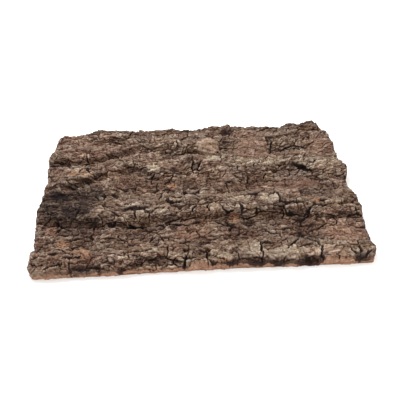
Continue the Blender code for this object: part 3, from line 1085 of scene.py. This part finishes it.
def outer_colour(n, noise):
    """The weathered face: a tone that follows the relief with painted light and shade, tinted, with fresh
    and sooty places, and painted shade in dents, gashes and round deep cracks.
    """
    # Painted light and shade: what stands proud is painted lighter and what lies deep darker, as ambient
    # occlusion would shade it.
    tone = n.weighted(
        0.445,
        ("near", 0.15),
        ("mid", 0.13),
        ("wide", 0.04),
        (n.centred("chip"), 0.16),
        (n.centred("crumb"), 0.12),
        (n.centred("plate"), 0.14),
        (n.centred(noise.streaks), 0.45),
        (n.centred(noise.patches), 0.50),
        (n.centred(noise.blotches), 0.15),
        (n.centred(noise.speckle), 0.60),
        (n.centred(noise.grit), 0.40),
        ("pale", 0.24),
        ("calm", 0.06),
        # painted shade on steep fronts, with their darker brown
        ("wall_brown_and_shade", -0.12),
        # painted shade in the worn hollows
        ("hollow_shade", -0.20),
        # painted shade in cracks
        ("crack", -0.33),
        ("dull", -0.16),
    )
    reddish = n.weighted(0.0, ("hue", 0.4), (noise.patches, 1.4), (noise.speckle, 0.6), ("pale", -0.25))
    rosy = n.math("MAXIMUM", n.math("MULTIPLY", "rosy", 0.8), n.span(reddish, 1.20, 1.50, 0.0, 0.8))
    tint = n.blend(n.span(noise.blotches, 0.42, 0.58), GREY, SANDY)
    tint = n.blend(n.math("MULTIPLY", "pale", 0.7), tint, KHAKI)
    tint = n.blend(rosy, tint, ROSE)
    colour = n.blend(1.0, n.ramp(tone, TONES), tint, "MULTIPLY")

    fresh = n.math("MULTIPLY", "fresh", n.span(noise.speckle, 0.35, 0.55, 0.3, 1.0))
    fresh = n.math("MULTIPLY", fresh, n.span("near", -0.6, 0.2), clamp=True)
    colour = n.blend(fresh, colour, ORANGE)
    # Blackened bark, with painted shade in dents and round deep cracks.
    char_and_shade = n.math("MULTIPLY", "char_and_shade", n.span(tone, 0.3, 0.9, 1.0, 0.75))
    colour = n.blend(char_and_shade, colour, n.blend(1.0, colour, SOOT_AND_SHADE, "MULTIPLY"))
    # Painted shade in the placed cracks.
    return n.blend(n.math("MULTIPLY", "gash", 0.92), colour, GASH_SHADE_AND_PORE_DARK)


def sawn_colour(n, noise, face):
    """The sawn sides: tan cork with darker year rings under a dark crust of uneven depth."""
    rings = n.noise(220, 3, (0.12, 0.12, 1.3))
    cork = n.blend(n.span(rings, 0.42, 0.66), SAWN_CORK, SAWN_DARK)
    cork = n.blend(n.span(noise.streaks, 0.45, 0.7, 0.0, 0.8), cork, SAWN_DARK)
    cork = n.blend(n.span(noise.speckle, 0.5, 0.7, 0.0, 0.6), cork, SAWN_DARK)
    below = n.weighted(
        0.0,
        ("depth", 1.0),
        ("crust", -1.0),
        (n.centred(noise.patches), 22.0),
        (n.centred(noise.streaks), 14.0),
    )
    cork = n.blend(n.span(below, -1.5, 1.5), n.blend(0.12, face, SAWN_DARK), cork)
    return n.blend(n.math("MULTIPLY", "pore", 0.8), cork, GASH_SHADE_AND_PORE_DARK)


def bark_material():
    material = bpy.data.materials.new("bark")
    n = Nodes(material)
    noise = Noises(
        blotches=n.noise(34, 4, (0.7, 1.1, 1.0)),
        patches=n.noise(90, 4, (0.8, 1.1, 1.0)),
        streaks=n.noise(150, 5, (0.6, 1.3, 1.3)),
        speckle=n.noise(520, 3, (0.9, 1.05, 1.05)),
        grit=n.noise(1500, 2),
    )
    face = outer_colour(n, noise)
    belly = n.blend(n.span(noise.streaks, 0.35, 0.65), BELLY, SAWN_DARK)
    belly = n.blend("pore", belly, SAWN_DARK)
    base = n.blend("sawn", face, sawn_colour(n, noise, face))
    base = n.blend("belly", base, belly)

    bump = n.new("ShaderNodeBump")
    bump.inputs["Strength"].default_value = 0.8
    bump.inputs["Distance"].default_value = 0.0014
    grain = n.weighted(0.0, (noise.streaks, 0.8), (noise.speckle, 0.8), (noise.grit, 0.3))
    n.feed(bump.inputs["Height"], grain)

    shader = n.new("ShaderNodeBsdfPrincipled")
    n.feed(shader.inputs["Base Color"], base)
    n.feed(shader.inputs["Roughness"], n.span(noise.speckle, 0.3, 0.7, 0.82, 1.0))
    shader.inputs["Specular IOR Level"].default_value = 0.25
    n.feed(shader.inputs["Normal"], bump.outputs[0])
    output = n.new("ShaderNodeOutputMaterial")
    n.feed(output.inputs["Surface"], shader.outputs[0])
    return material


# ---------------- floor, light and camera


FLOOR_SIZE = 12.0
FLOOR_DROP = 0.0005
FLOOR_GREY = (0.93, 0.93, 0.93, 1.0)
AMBIENT = (1.0, 0.97, 0.94, 1.0)
AMBIENT_STRENGTH = 0.95

# Lamps: the place, the size, the energy and the colour.
LAMPS = {
    "key": ((-0.4, 0.6, 1.3), 0.9, 25, (0.96, 1.0, 1.04)),
    "fill": ((0.6, -1.2, 1.2), 1.2, 13, (1.0, 1.0, 1.0)),
}


def make_floor():
    bpy.ops.mesh.primitive_plane_add(size=FLOOR_SIZE, location=(0, 0, -FLOOR_DROP))
    floor = bpy.context.object
    floor.name = "studio_floor"
    material = bpy.data.materials.new("floor")
    material.use_nodes = True
    shader = material.node_tree.nodes["Principled BSDF"]
    shader.inputs["Base Color"].default_value = FLOOR_GREY
    shader.inputs["Roughness"].default_value = 0.9
    shader.inputs["Specular IOR Level"].default_value = 0.1
    floor.data.materials.append(material)
    floor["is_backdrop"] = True


def light_studio():
    world = bpy.data.worlds.new("studio")
    bpy.context.scene.world = world
    world.use_nodes = True
    background = world.node_tree.nodes["Background"]
    background.inputs["Color"].default_value = AMBIENT
    background.inputs["Strength"].default_value = AMBIENT_STRENGTH
    for name, (place, size, energy, colour) in LAMPS.items():
        light = bpy.data.lights.new(name, "AREA")
        light.shape = "DISK"
        light.size = size
        light.energy = energy
        light.color = colour
        lamp = bpy.data.objects.new(name, light)
        lamp.location = place
        lamp.rotation_euler = (-Vector(place)).to_track_quat("-Z", "Y").to_euler()
        bpy.context.scene.collection.objects.link(lamp)
    bpy.context.scene.view_settings.view_transform = "Standard"


CAMERA_PLACE = (-0.0442, -0.8986, 0.7731)
CAMERA_TURN = math.radians(-3.076)
CAMERA_TILT = math.radians(-41.077)
CAMERA_ROLL = math.radians(-0.577)
CAMERA_LENS = 54.87
SENSOR_WIDTH = 36


def place_camera():
    data = bpy.data.cameras.new("camera")
    data.lens = CAMERA_LENS
    data.sensor_width = SENSOR_WIDTH
    camera = bpy.data.objects.new("camera", data)
    turn = Matrix.Rotation(CAMERA_TURN, 4, "Z")
    tilt = Matrix.Rotation(math.pi / 2 + CAMERA_TILT, 4, "X")
    roll = Matrix.Rotation(CAMERA_ROLL, 4, "Z")
    camera.matrix_world = Matrix.Translation(CAMERA_PLACE) @ turn @ tilt @ roll
    bpy.context.scene.collection.objects.link(camera)
    bpy.context.scene.camera = camera


place_camera()
make_floor()
light_studio()
slab = build_slab()
slab.data.materials.append(bark_material())
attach(slab, "root")
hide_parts(NODE)
